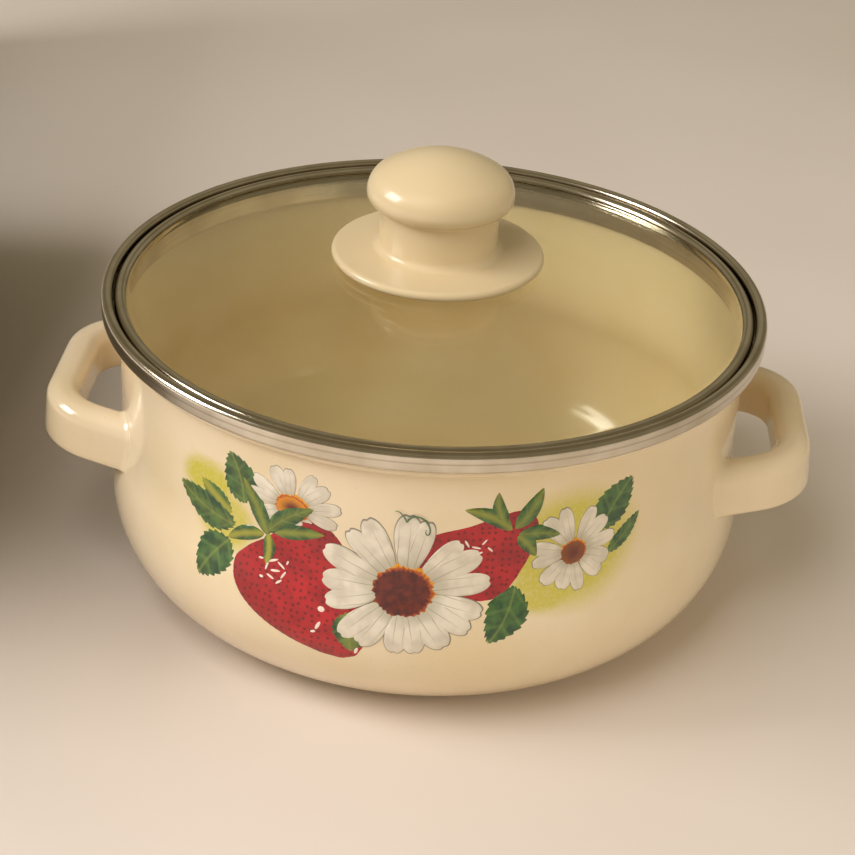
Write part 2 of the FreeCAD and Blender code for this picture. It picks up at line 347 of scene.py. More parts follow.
@dataclass(frozen=True)
class Enamel:
    """Fired cream enamel: a thick glassy coat, soft-edged reflections and a faint orange-peel."""

    cream: str = "#ECDABA"
    thin: str = "#E6D2AA"          # where the coat is thinner
    wash: str = "#C6BC2C"          # soft yellow-green print behind the leaves
    roughness: float = 0.16
    ripple_mm: float = 7.0
    printed: bool = False

    def material(self) -> bpy.types.Material:
        """Build the enamel's nodes."""
        graph = Graph("fired_cream_enamel" + ("_printed" if self.printed else ""),
                      Roughness=self.roughness, IOR=1.52, Coat_Weight=0.35, Coat_Roughness=0.06)
        cloud = graph.band(graph.noise(38.0, 3.0), 0.3, 0.75)
        colour = graph.mix(cloud, self.cream, self.thin)
        speck = graph.band(graph.noise(0.8, 1.0), 0.66, 0.78, 0.0, 0.18)
        colour = graph.mix(speck, colour, "#C9A877")
        if self.printed:
            stipple = graph.math("MULTIPLY", graph.value("wash"),
                                 graph.band(graph.noise(1.1, 2.0), 0.2, 0.6, 0.72, 1.0))
            colour = graph.mix(stipple, colour, self.wash)
        graph.feed("Base Color", colour)
        peel = graph.math("ADD", graph.noise(self.ripple_mm, 1.0),
                          graph.math("MULTIPLY", graph.noise(1.6, 1.0), 0.12))
        graph.bump(peel, 0.05, 0.55)
        return graph.material


@dataclass(frozen=True)
class Phenolic:
    """Compression-moulded phenolic in cream: a satin gloss, broad highlights, very fine grain."""

    cream: str = "#DECBA5"
    deep: str = "#D6C198"
    roughness: float = 0.27

    def material(self) -> bpy.types.Material:
        """Build the moulding's nodes."""
        graph = Graph("moulded_cream_phenolic", Roughness=self.roughness, IOR=1.5,
                      Coat_Weight=0.3, Coat_Roughness=0.12)
        graph.feed("Base Color", graph.mix(graph.noise(30.0, 1.0), self.cream, self.deep))
        graph.bump(graph.noise(7.0, 1.0), 0.03, 0.4)
        return graph.material


@dataclass(frozen=True)
class PolishedSteel:
    """Buffed stainless sheet: bright and mirror-like, with faint rolling lines and painted dark reflection
    bands round the ring.
    """

    tone: str = "#E2DACB"
    roughness: float = 0.13
    line_mm: float = 0.35          # buffing lines, drawn about twice as coarse as real so they show

    def material(self, name: str = "buffed_stainless") -> bpy.types.Material:
        """Build the steel's nodes."""
        graph = Graph(name, Metallic=1.0)
        place = graph.split(graph.mm)
        squares = [graph.math("MULTIPLY", place[axis], place[axis]) for axis in (0, 1)]
        radius = graph.math("SQRT", graph.math("ADD", *squares))
        ring = graph.add("ShaderNodeCombineXYZ", {0: radius, 1: place[2]})
        lines = graph.add("ShaderNodeTexNoise", {"Vector": ring.outputs[0], "Scale": 1 / self.line_mm,
                                                 "Detail": 2.0}).outputs["Fac"]
        smear = graph.band(graph.noise(16.0, 3.0), 0.35, 0.7)
        # painted reflection: dark brown bands round the ring, laid into the base colour for dark surroundings
        # mirrored in the steel
        painted_reflection_rings = graph.add("ShaderNodeTexNoise", {"Vector": ring.outputs[0], "Scale": 1 / 1.2,
                                                 "Detail": 1.0}).outputs["Fac"]
        colour = graph.mix(smear, self.tone, "#CDC3B0")
        graph.feed("Base Color", graph.mix(graph.band(painted_reflection_rings, 0.46, 0.6, 0.0, 0.5), colour, "#857456"))
        graph.feed("Roughness", graph.math("ADD", self.roughness, graph.math(
            "MULTIPLY", graph.math("ADD", lines, smear), 0.05)))
        graph.bump(lines, 0.01, 0.35)
        return graph.material


@dataclass(frozen=True)
class LidGlass:
    """Tempered soda-lime glass: clear, mirror-smooth, a trace of green and light wiping marks."""

    tint: str = "#F1F3EA"
    roughness: float = 0.015

    def material(self) -> bpy.types.Material:
        """Build the glass's nodes, with lamp rays let straight through it."""
        graph = Graph("tempered_clear_glass", IOR=1.5, Transmission_Weight=1.0)
        graph.shader.inputs["Base Color"].default_value = linear(self.tint)
        wiped = graph.band(graph.noise(22.0, 4.0, (1, 3, 1)), 0.5, 0.8)
        graph.feed("Roughness", graph.math("ADD", self.roughness, graph.math("MULTIPLY", wiped, 0.03)))
        path = graph.add("ShaderNodeLightPath")
        clear = graph.add("ShaderNodeBsdfTransparent", {"Color": "#F6F3E2"})
        either = graph.add("ShaderNodeMixShader", {0: path.outputs["Is Shadow Ray"],
                                                   1: graph.shader.outputs["BSDF"],
                                                   2: clear.outputs["BSDF"]})
        graph.join(either.outputs[0], graph.output.inputs["Surface"])
        return graph.material


@dataclass(frozen=True)
class Plain:
    """A small hidden part's finish: a base colour mottled by a second, with a fine grain."""

    name: str
    light: str
    dark: str
    roughness: float
    metallic: float = 0.0
    grain_mm: float = 1.5
    depth_mm: float = 0.02

    def material(self) -> bpy.types.Material:
        """Build the finish's nodes."""
        graph = Graph(self.name, Metallic=self.metallic)
        grain = graph.noise(self.grain_mm, 3.0)
        graph.feed("Base Color", graph.mix(graph.band(grain, 0.3, 0.7), self.light, self.dark))
        graph.feed("Roughness", graph.band(grain, 0.3, 0.7, self.roughness, self.roughness + 0.12))
        graph.bump(grain, self.depth_mm, 0.5)
        return graph.material


@dataclass(frozen=True)
class CeramicInk:
    """Fired overglaze print: flat pigments as glossy as the enamel, with a fine screened mottle."""

    roughness: float = 0.17

    def graph(self, name: str) -> Graph:
        """Start an ink's nodes with the gloss that all of them share."""
        return Graph(name, Roughness=self.roughness, IOR=1.52, Coat_Weight=0.35, Coat_Roughness=0.06)

    def petal(self) -> bpy.types.Material:
        """White petals: thin grey veins along them, a grey outline and a shaded root."""
        graph = self.graph("ink_petal_white")
        along, side = graph.split(graph.value("local", True))[:2]
        tone = graph.value("tone")
        wobble = graph.math("MULTIPLY", graph.noise(5.0, 2.0), 0.5)
        wave = graph.math("ABSOLUTE", graph.math("SINE", graph.math(
            "ADD", graph.math("MULTIPLY", side, 4.6), graph.math("ADD", wobble, tone))))
        vein = graph.math("MULTIPLY", graph.band(wave, 0.0, 0.2, 0.8, 0.0),
                          graph.band(along, 0.95, 0.35))
        colour = graph.mix(graph.band(graph.noise(6.0, 2.0), 0.35, 0.7), "#EAE1CE", "#D3C9B6")
        colour = graph.mix(graph.band(along, 0.42, 0.16, 0.0, 0.6), colour, "#A9A48C")
        colour = graph.mix(graph.math("MULTIPLY", tone, 0.35), colour, "#B9B09E")
        colour = graph.mix(vein, colour, "#8F8877")
        colour = graph.mix(graph.band(graph.value("rim"), 0.915, 0.955, 0.0, 0.85), colour, "#71695C")
        graph.feed("Base Color", colour)
        return graph.material

    def disc(self) -> bpy.types.Material:
        """The flower's eye: dark red-brown florets with a broken orange fringe."""
        graph = self.graph("ink_flower_eye")
        edge = graph.math("ADD", graph.value("rim"), graph.math(
            "MULTIPLY", graph.math("SUBTRACT", graph.noise(0.8, 3.0), 0.5), 0.24))
        along, side = graph.split(graph.value("local", True))[:2]
        lean = graph.math("ADD", along, graph.math("MULTIPLY", side, 0.5))
        edge = graph.math("ADD", edge, graph.math("MULTIPLY", graph.math("SUBTRACT", lean, 0.5), 0.14))
        colour = graph.mix(graph.band(graph.noise(2.2, 3.0), 0.3, 0.75), "#4A1310", "#6E2416")
        colour = graph.mix(graph.math("MULTIPLY", graph.band(edge, 0.05, 0.75), graph.value("tone")),
                           colour, "#D98A1C")
        colour = graph.mix(graph.band(edge, 0.74, 0.85), colour, "#A94A18")
        colour = graph.mix(graph.band(edge, 0.85, 0.94), colour, "#DE951F")
        graph.feed("Base Color", colour)
        return graph.material

    def berry(self) -> bpy.types.Material:
        """Ripe red berry: deeper on its shaded side, pitted with dark seeds."""
        graph = self.graph("ink_berry_red")
        place = graph.value("flat", True)
        cell = graph.add("ShaderNodeTexVoronoi", {"Vector": place, "Scale": 1 / 2.3,
                                                  "Randomness": 0.55},
                         voronoi_dimensions="2D").outputs["Distance"]
        seed = graph.band(cell, 0.12, 0.30, 0.8, 0.0)
        side = graph.split(graph.value("local", True))[1]
        colour = graph.mix(graph.band(graph.noise(7.0, 3.0), 0.3, 0.7), "#BA1620", "#98101A")
        colour = graph.mix(graph.band(graph.math("ABSOLUTE", side), 0.35, 1.0, 0.0, 0.7), colour, "#8E141B")
        colour = graph.mix(seed, colour, "#5E0C13")
        graph.feed("Base Color", colour)
        return graph.material

    def leaf(self) -> bpy.types.Material:
        """Leaf green with a yellow middle vein, side veins and a darker edge."""
        graph = self.graph("ink_leaf_green")
        along, side = graph.split(graph.value("local", True))[:2]
        side = graph.math("ABSOLUTE", side)
        colour = graph.mix(graph.band(graph.noise(3.5, 3.0), 0.35, 0.65), "#22482A", "#466C33")
        slant = graph.math("SUBTRACT", graph.math("MULTIPLY", along, 22.0),
                           graph.math("MULTIPLY", side, 5.0))
        veins = graph.band(graph.math("SINE", slant), 0.6, 0.95, 0.0, 0.3)
        colour = graph.mix(veins, colour, "#6F8C48")
        colour = graph.mix(graph.math("MULTIPLY", graph.value("tone"),
                                      graph.band(side, 0.7, 0.05)), colour, "#A8A436")
        colour = graph.mix(graph.band(side, 0.10, 0.02, 0.0, 0.4), colour, "#8C9A45")
        graph.feed("Base Color", colour)
        return graph.material

    def plain(self, name: str, light: str, dark: str) -> bpy.types.Material:
        """A one-colour ink, mottled by its screen."""
        graph = self.graph(name)
        graph.feed("Base Color", graph.mix(graph.band(graph.noise(1.2, 2.0), 0.35, 0.65), light, dark))
        return graph.material


# ---- the pot ---------------------------------------------------------------
@dataclass
class Pot:
    """The enamelled body with its clinched steel trim, sizes in mm."""

    neck_radius: float = 101.6
    wall: float = 1.4
    belly_radius: float = 105.3
    corner_radius: float = 36.0
    neck_start: float = 62.0
    shoulder_start: float = 92.6
    shoulder_radius: float = 2.2
    lip_radius: float = 105.6
    lip_top: float = 101.9
    trim_radius: float = 107.2
    trim_bead: float = 1.75
    trim_sheet: float = 0.5
    trim_top: float = 103.7
    trim_bottom: float = 97.4
    trim_curl: float = 1.3
    print_radius: float = 103.5    # nominal radius for places round the printed wall

    def outline(self) -> Array:
        """Return the outer face from the middle of the base up to the lip."""
        step_in = self.belly_radius - self.neck_radius
        rise = (self.neck_start - self.corner_radius) / 2
        sweep_radius = (rise ** 2 + (step_in / 2) ** 2) / step_in
        sweep = math.degrees(math.asin(rise / sweep_radius))
        corner = self.belly_radius - self.corner_radius
        flare = self.neck_radius + self.shoulder_radius
        bend = self.lip_radius - flare
        section = Section(0, 0).line(corner, 0, 14)
        section.arc(corner, self.corner_radius, 90, 2.5)
        section.arc(self.belly_radius - sweep_radius, self.corner_radius, sweep, 1.4)
        section.arc(self.neck_radius + sweep_radius, self.neck_start, -sweep, 1.4)
        section.line(self.neck_radius, self.shoulder_start, 18)
        section.arc(flare, self.shoulder_start, -90, 7.5)
        section.arc(flare, self.shoulder_start + self.shoulder_radius + bend, 90, 7.5)
        section.line(self.lip_radius, self.lip_top)
        return section.points

    def __post_init__(self) -> None:
        """Keep the stretch of the outer face that the handles and the print lie on."""
        face = self.outline()
        self.face = face[(face[:, 1] > 0.5) & (face[:, 1] <= self.shoulder_start)]

    def wall_radius(self, height: Array) -> Array:
        """Return the outer radius at each height below the flare, read along the outline."""
        return np.interp(height, self.face[:, 1], self.face[:, 0])

    def wrapped(self, across_mm: Array, height: Array, lift: Array) -> Array:
        """Lay flat places on the wall: across_mm runs round from -Y towards +X at the print radius.

        Args:
            across_mm: Distance round the wall.
            height: Height above the table.
            lift: Distance out from the wall.

        Returns:
            Points with one more axis for x, y and z.
        """
        angle = across_mm / self.print_radius
        radius = self.wall_radius(height) + lift
        return np.stack((radius * np.sin(angle), -radius * np.cos(angle),
                         np.broadcast_to(height, angle.shape)), axis=-1)

    def body(self) -> Surface:
        """Spin the shell: outer face, rounded lip and the inner face, one wall thickness away."""
        outer = self.outline()
        inner = outer + self.wall * across(outer)
        inner[0] = (0.0, self.wall)
        lip = Section(*outer[-1]).arc(self.lip_radius - self.wall / 2, self.lip_top, 180, 36).points[1:]
        lip[:, 1] = self.lip_top
        section = np.vstack((outer, lip[:-1], inner[::-1]))
        surface = turned(section, 360, False)
        surface.values["wash"] = self.wash(surface.points)
        return surface

    def wash(self, points: Array) -> Array:
        """Give the soft yellow-green print: the largest of several eased ellipses, on the outer wall.

        Args:
            points: Points of the body, in mm.

        Returns:
            Cover from 0 to 1 at each point.
        """
        along = np.arctan2(points[:, 0], -points[:, 1]) * self.print_radius
        outside = np.hypot(points[:, 0], points[:, 1]) > self.wall_radius(points[:, 2]) - self.wall / 2
        cover = np.zeros(len(points))
        for u, v, half_u, half_v, depth in PRINT_WASHES:
            reach = np.hypot((along - u) / half_u, (points[:, 2] - v) / half_v)
            cover = np.maximum(cover, depth * np.clip(1.35 - reach, 0, 0.5) / 0.5)
        return cover * outside

    def trim(self) -> Surface:
        """Spin the upside-down channel that is clinched over the lip."""
        centre = self.trim_radius - self.trim_bead
        level = self.trim_top - self.trim_bead
        curl = self.trim_curl
        section = Section(self.trim_radius - curl * 0.5, self.trim_bottom)
        section.arc(self.trim_radius - curl, self.trim_bottom + curl * math.sin(math.radians(60)), 60)
        section.line(self.trim_radius, level)
        section.arc(centre, level, 180)
        section.line(centre - self.trim_bead, self.trim_bottom + 0.8)
        return turned(sheet_loop(section.points, self.trim_sheet), 360)

    def build(self) -> None:
        """Place the body and its trim."""
        placed("enamelled_body", self.body(), Enamel(printed=True).material(), "pot", "enamel", "pot_body")
        placed("steel_trim", self.trim(), PolishedSteel().material(), "pot", "polished_trim", "rim_trim")


@dataclass
class Handle:
    """One pressed loop handle: a round-shouldered channel, open below, sizes in mm."""

    pot: Pot
    side: int
    height: float = 15.9
    depth: float = 11.0
    inner_wall: float = 14.6
    sheet: float = 1.6
    edge: float = 5.0
    inner_edge: float = 4.5
    reach: float = 125.8
    half_span: float = 27.4
    splay: float = 16.5
    bend: float = 18.5
    level: float = 50.0
    rise: float = 5.1
    fillet: float = 1.6            # the enamel's build-up where the arm meets the wall
    bury: float = 0.9              # how far the arms run into the wall

    def section(self) -> Array:
        """Return the channel's closed section as (outward, up), rounded at its two lips."""
        face = self.depth / 2
        outline = Section(face, 0).line(face, self.height - self.edge, 5)
        outline.arc(face - self.edge, self.height - self.edge, 90, 9)
        outline.line(self.inner_edge - face, self.height, 2)
        outline.arc(self.inner_edge - face, self.height - self.inner_edge, 90, 9)
        outline.line(-face, self.height - self.inner_wall, 4)
        return sheet_loop(outline.points, self.sheet, 5)

    def tipped(self, points: Array) -> Array:
        """Tip points up about the neck and raise them to the handle's level."""
        angle = math.radians(self.rise)
        out = points[..., 0] - self.pot.neck_radius
        up = points[..., 2] - self.height / 2
        return np.stack((self.pot.neck_radius + out * math.cos(angle) - up * math.sin(angle),
                         points[..., 1],
                         out * math.sin(angle) + up * math.cos(angle) + self.height / 2 + self.level),
                        axis=-1)

    def arm_length(self, start: Array, away: Array) -> Array:
        """Find by halving how far each line of the arm runs before it is inside the wall.

        Args:
            start: Points where the arm leaves the bend, before tipping.
            away: The arm's direction, towards the pot.

        Returns:
            Length of each line in mm, as a column.
        """
        near, far = np.zeros(len(start)), np.full(len(start), 40.0)
        for _ in range(24):
            middle = (near + far) / 2
            spot = self.tipped(start + middle[:, None] * away)
            outside = np.hypot(spot[:, 0], spot[:, 1]) > self.pot.wall_radius(spot[:, 2]) - self.bury
            near, far = np.where(outside, middle, near), np.where(outside, far, middle)
        return near[:, None]

    def surface(self) -> Surface:
        """Carry the section along the loop: arm, bend, bar, bend, arm, as one closed tube.

        Each arm's lines end on the wall, and swell by an eased amount over their last few mm.

        Returns:
            The handle's surface.
        """
        section = self.section()
        normal = -across(section, True)
        bar = self.reach - self.depth / 2
        turn = math.radians(90 - self.splay)
        flat = self.half_span - self.bend * math.tan(turn / 2)
        centre = np.array([bar - self.bend, flat, 0.0])
        upright = np.array([0.0, 0.0, 1.0])

        def ring(heading: float, middle: Array, grow: Array | float = 0.0) -> Array:
            """Place the section at a point of the loop, facing the heading, swollen by grow."""
            out = np.array([math.cos(heading), math.sin(heading), 0.0])
            swollen = section + grow * normal
            return middle + swollen[:, :1] * out + swollen[:, 1:] * upright

        root = centre + self.bend * np.array([math.cos(turn), math.sin(turn), 0.0])
        away = np.array([-math.sin(turn), math.cos(turn), 0.0])
        length = self.arm_length(ring(turn, root), away)
        rows = []
        for part in np.concatenate((np.linspace(1, 0.62, 16), np.linspace(0.55, 0.07, 6))):
            left = (1 - part) * length
            grow = self.fillet * np.clip(1 - left / (2.2 * self.fillet), 0, 1) ** 2.2
            start = ring(turn, root, grow)
            rows.append(start + part * self.arm_length(start, away) * away)
        for heading in np.linspace(turn, 0, 17):
            spot = np.array([math.cos(heading), math.sin(heading), 0.0])
            rows.append(ring(heading, centre + self.bend * spot))
        half = np.array(rows)
        middle = [ring(0.0, np.array([bar, y, 0.0])) for y in np.linspace(flat, -flat, 9)[1:-1]]
        grid = self.tipped(np.concatenate((half, np.array(middle), half[::-1] * np.array([1, -1, 1]))))
        cap = [np.broadcast_to(grid[row].mean(axis=0), grid[row].shape)[None] for row in (0, -1)]
        grid = np.concatenate((cap[0], grid, cap[1]))
        if self.side < 0:
            grid = grid * np.array([-1, -1, 1])
        return woven(grid, False, True, {})

    def build(self, finish: bpy.types.Material) -> None:
        """Place the handle."""
        name = "right" if self.side > 0 else "left"
        placed(f"loop_handle_{name}", self.surface(), finish, "pot", "enamel", f"handle_{name}")


# ---- the printed flowers ---------------------------------------------------
class Kind(Enum):
    """What a printed shape is."""

    PETAL = "petal"
    EYE = "eye"
    BERRY = "berry"
    LEAF = "leaf"
    SHARP = "sharp"                # a smooth pointed leaf with no teeth
    GLINT = "glint"


@dataclass(frozen=True)
class Motif:
    """One printed shape: place on the wall and size in mm, turn in degrees, and its layer."""

    kind: Kind
    u: float
    v: float
    length: float
    width: float
    turn: float
    layer: int
    tone: float = 0.0
    curve: float = 0.0             # how far the shape's middle bends sideways, in mm


PRINT_WASHES = (                   # u, v, half width, half height, depth, all in mm but the depth
    (-67.0, 73.5, 9.5, 6.5, 0.95),
    (-60.0, 63.0, 10.0, 9.0, 0.85),
    (50.5, 65.5, 19.5, 17.0, 0.9),
    (42.0, 53.0, 11.0, 6.5, 0.85),
)


@dataclass
class PrintedFlowers:
    """Daisies, berries and leaves fired onto the front of the pot, as thin shapes laid on the wall."""

    pot: Pot
    layer_mm: float = 0.045        # step between one layer of ink and the next
    sunk_mm: float = 0.05          # each shape's edge dips this far under the enamel

    @staticmethod
    def edge(motif: Motif, angle: Array) -> Array:
        """Give the outline (x, y) by angle, x along the shape from its middle, in mm.

        Petals and berries are eggs: x is cosine, y is sine widened or narrowed along x. Leaves are
        lenses, whose sine is sharpened at both ends, and toothed ones get a saw-tooth round them.
        """
        cosine, sine = np.cos(angle), np.sin(angle)
        x, y = motif.length / 2 * cosine, motif.width / 2 * sine
        if motif.kind is Kind.PETAL:
            y = y * (0.86 + 0.30 * cosine)
            x = x - 0.035 * motif.length * np.exp(-((np.abs(angle - np.pi) - np.pi) / 0.16) ** 2)
        elif motif.kind is Kind.BERRY:
            y = y * (np.abs(sine) + 0.01) ** -0.2 * (1 - 0.46 * cosine)
            x = x + 0.08 * motif.length * np.exp(-((angle - np.pi) / 0.42) ** 2)
            x = x * (1 + 0.008 * np.cos(17 * angle))
        elif motif.kind is Kind.EYE:
            ragged = 1 + 0.035 * np.cos(31 * angle) + 0.02 * np.cos(19 * angle + 1)
            x, y = x * ragged, y * ragged
        elif motif.kind in (Kind.LEAF, Kind.SHARP):
            y = y * np.abs(sine) ** 0.45 * (1 - 0.25 * cosine)
            if motif.kind is Kind.LEAF:
                tooth = 1 + 0.15 * ((11 * angle / np.pi) % 1.0 - 0.5) * np.abs(sine) ** 0.4
                x, y = x * tooth, y * tooth
        return np.stack((x, y), axis=-1)

    def patch(self, motif: Motif) -> Surface:
        """Fill a motif's outline by shrinking it to its middle, then lay it on the wall.

        The ink's face is a low plateau that dips under the enamel at its edge, and a second face
        below closes the shape.

        Args:
            motif: The shape to lay.

        Returns:
            A thin closed surface with the values that the inks read.
        """
        around = 176 if motif.kind is Kind.LEAF else 72
        angle = 2 * np.pi * (np.arange(around) + 0.5) / around
        reach = np.concatenate((np.linspace(0, 0.85, 9), [0.91, 0.95, 0.98, 1.0]))
        local = reach[:, None, None] * self.edge(motif, angle)
        share = local[..., 0] / (motif.length / 2)
        bent = local[..., 1] + motif.curve * (1 - share ** 2)
        turn = math.radians(motif.turn)
        start = motif.length / 2 if motif.kind in (Kind.PETAL, Kind.LEAF, Kind.SHARP) else 0.0
        run = local[..., 0] + start
        u = motif.u + run * math.cos(turn) - bent * math.sin(turn)
        v = motif.v + run * math.sin(turn) + bent * math.cos(turn)
        high = motif.layer * self.layer_mm
        lift = high * (1 - reach ** 10) - self.sunk_mm * reach ** 10
        top = self.pot.wrapped(u, v, np.broadcast_to(lift[:, None], u.shape))
        under = self.pot.wrapped(u, v, np.full(u.shape, -2 * self.sunk_mm))[::-1]
        grid = np.concatenate((top, under))
        flank = share * 0.5 + 0.5
        side = local[..., 1] / (motif.width / 2)
        blank = np.zeros_like(flank)
        rim = np.broadcast_to(reach[:, None], flank.shape)

        def both(array: Array) -> Array:
            """Repeat a value of the upper face on the lower one."""
            return np.concatenate((array, array[::-1]))

        values = {"local": both(np.stack((flank, side, blank), axis=-1)),
                  "flat": both(np.stack((u, v, blank), axis=-1)),
                  "rim": both(rim), "tone": both(np.full_like(flank, motif.tone))}
        return woven(grid, False, True, values)

    @staticmethod
    def daisy(u: float, v: float, eye: tuple[float, float], reach: tuple[float, ...], width: float,
              layer: int, offset: float, glow: float) -> list[Motif]:
        """Set petals round an eye, alternate ones a layer lower.

        Args:
            u: Place of the eye round the wall.
            v: Height of the eye.
            eye: Width and height of the eye.
            reach: Length of each petal from the eye's middle, one for each petal.
            width: Width of a petal.
            layer: Layer of the upper petals.
            offset: Turn of the first petal, in degrees.
            glow: How orange the eye is, 0 to 1.

        Returns:
            The petals and the eye.
        """
        count = len(reach)
        petals = []
        for order, length in enumerate(reach):
            turn = offset + 360 * order / count + 4 * math.sin(2.7 * order)
            back = 0.55
            inset_u = back * eye[0] / 2 * math.cos(math.radians(turn))
            inset_v = back * eye[1] / 2 * math.sin(math.radians(turn))
            petals.append(Motif(Kind.PETAL, u + inset_u, v + inset_v, length - back * eye[0] / 2,
                                width * (1 + 0.12 * math.sin(1.9 * order)), turn,
                                layer - order % 3, 0.25 + 0.25 * math.sin(2.3 * order),
                                0.5 * math.sin(3.1 * order)))
        return petals + [Motif(Kind.EYE, u, v, eye[0], eye[1], 0, layer + 2, glow)]

    def motifs(self) -> list[Motif]:
        """List every printed shape, from the back of the design to its front."""
        small = self.daisy(-35.5, 75.6, (12.5, 9.5), (16, 15, 15, 14, 15, 16, 17, 16, 14, 12, 12, 13, 15),
                           5.4, 5, 10, 0.95)
        large = self.daisy(-0.5, 54.3, (21.0, 18.4), (27, 27, 25, 26, 27, 27, 26, 28, 26, 25, 26, 24, 22,
                                                      22, 23, 24, 25), 8.6, 12, 8, 0.0)
        right = self.daisy(51.2, 64.0, (9.6, 9.6), (15, 15, 16, 17, 17, 15, 14, 14, 13, 14, 14, 14), 6.0,
                           7, 12, 0.2)
        rows = (                   # kind, u, v, length, width, turn, layer, tone, curve
            (Kind.LEAF, -52.5, 71.0, 17.5, 13.0, 108, 2, 0.1, -1.5),
            (Kind.LEAF, -55.5, 62.5, 25.0, 11.5, 166, 3, 0.15, 1.5),
            (Kind.LEAF, -57.5, 57.0, 19.0, 13.5, 236, 2, 0.05, -1.0),
            (Kind.LEAF, -57.0, 66.0, 15.0, 7.0, 150, 2, 0.9),
            (Kind.SHARP, -43.5, 63.0, 20.0, 6.0, 118, 8, 0.45, -0.8),
            (Kind.SHARP, -44.0, 64.5, 20.5, 6.5, 38, 9, 0.25, 1.4),
            (Kind.SHARP, -42.0, 65.0, 18.0, 5.5, 12, 8, 0.5, 0.6),
            (Kind.SHARP, -45.0, 63.5, 15.0, 5.0, 205, 8, 0.8, -1.0),
            (Kind.SHARP, -43.5, 64.0, 11.0, 4.6, 268, 9, 0.95, 0.6),
            (Kind.LEAF, -16.5, 46.5, 15.0, 12.0, 276, 7, 0.35),
            (Kind.LEAF, 33.0, 55.5, 20.0, 13.0, 246, 2, 0.0, 1.2),
            (Kind.LEAF, 60.0, 69.0, 19.5, 13.0, 58, 2, 0.0, 1.0),
            (Kind.LEAF, 63.5, 60.0, 16.5, 6.0, 47, 2, 0.05, -0.6),
            (Kind.SHARP, 31.5, 74.0, 17.5, 5.2, 152, 8, 0.55, -1.6),
            (Kind.SHARP, 30.0, 75.0, 13.5, 4.6, 108, 8, 0.45, 1.4),
            (Kind.SHARP, 31.0, 74.5, 16.0, 5.6, 58, 9, 0.35, -1.0),
            (Kind.SHARP, 32.0, 73.0, 15.0, 5.4, 352, 9, 0.25, 0.8),
            (Kind.SHARP, 32.0, 73.0, 11.0, 5.0, 310, 8, 0.45, 0.6),
            (Kind.BERRY, -30.0, 48.3, 49.0, 37.5, -47.5, 6, 0.0),
            (Kind.BERRY, 21.8, 65.3, 29.0, 36.0, -72, 6, 0.0),
        )
        strokes = (                # u, v, length, width, turn of each highlight
            (-41.5, 55.6, 4.6, 0.9, 25), (-38.6, 54.8, 3.6, 0.8, -35), (-43.4, 53.4, 3.4, 0.8, 75),
            (-40.4, 52.6, 3.8, 0.9, 10), (-37.6, 52.0, 3.4, 0.8, 60), (-41.8, 50.4, 3.2, 0.8, -20),
            (-38.8, 49.6, 2.8, 0.8, 40), (-45.6, 55.2, 2.0, 0.8, 10), (-36.6, 56.2, 1.8, 0.7, 70),
            (-44.8, 49.6, 1.5, 0.9, 0), (-24.5, 44.8, 2.4, 2.1, 0), (-25.2, 39.2, 3.6, 1.2, 65),
            (-26.6, 36.8, 1.8, 1.0, 20), (-13.4, 32.6, 2.6, 1.1, 75),
            (17.4, 70.8, 3.2, 0.8, -60), (20.2, 69.4, 3.4, 0.8, -15), (22.6, 71.2, 2.6, 0.7, 50),
            (21.0, 67.2, 3.2, 0.8, 30), (24.4, 68.6, 2.6, 0.7, -45), (18.4, 67.6, 1.8, 0.7, 80),
        )
        grown = [Motif(*row) for row in rows]
        glints = [Motif(Kind.GLINT, *stroke, 8) for stroke in strokes]
        return grown + glints + small + large + right

    def tendril(self) -> Surface:
        """Carry a thin round line along a curling path: a run with a loop that tightens at its end."""
        share = np.linspace(0, 1, 160)
        swing = 2 * np.pi * 1.75 * share
        u = -4.0 + 11.5 * share + 2.3 * share * np.sin(swing)
        v = 81.0 - 5.5 * share + 2.6 * np.sqrt(share) * np.cos(swing)
        slope = np.arctan2(np.gradient(v), np.gradient(u))
        thick = 0.28 * np.sin(np.pi * np.clip(share, 0.02, 0.98)) ** 0.4
        angle = 2 * np.pi * np.arange(8) / 8
        side = thick[:, None] * np.cos(angle)
        grid = self.pot.wrapped(u[:, None] - side * np.sin(slope)[:, None],
                                v[:, None] + side * np.cos(slope)[:, None],
                                0.62 + 0.10 * np.sin(angle)[None, :] * np.ones_like(side))
        ends = [np.broadcast_to(grid[row].mean(axis=0), grid[row].shape)[None] for row in (0, -1)]
        return woven(np.concatenate((ends[0], grid, ends[1])), False, True, {})

    def build(self) -> None:
        """Place one piece for each kind of print."""
        ink = CeramicInk()
        inks: dict[str, tuple[tuple[Kind, ...], Callable[[], bpy.types.Material]]] = {
            "printed_leaves": ((Kind.LEAF, Kind.SHARP), ink.leaf),
            "printed_berries": ((Kind.BERRY,), ink.berry),
            "printed_petals": ((Kind.PETAL,), ink.petal),
            "printed_flower_eyes": ((Kind.EYE,), ink.disc),
            "printed_glints": ((Kind.GLINT,), lambda: ink.plain("ink_glint_white", "#F6E9DC", "#EFD6CB")),
        }
        shapes = self.motifs()
        for name, (kinds, finish) in inks.items():
            parts = [self.patch(motif) for motif in shapes if motif.kind in kinds]
            placed(name, Surface.joined(parts), finish(), "pot", "enamel")
        placed("printed_tendril", self.tendril(), ink.plain("ink_tendril_green", "#5F7D52", "#48684A"),
               "pot", "enamel")


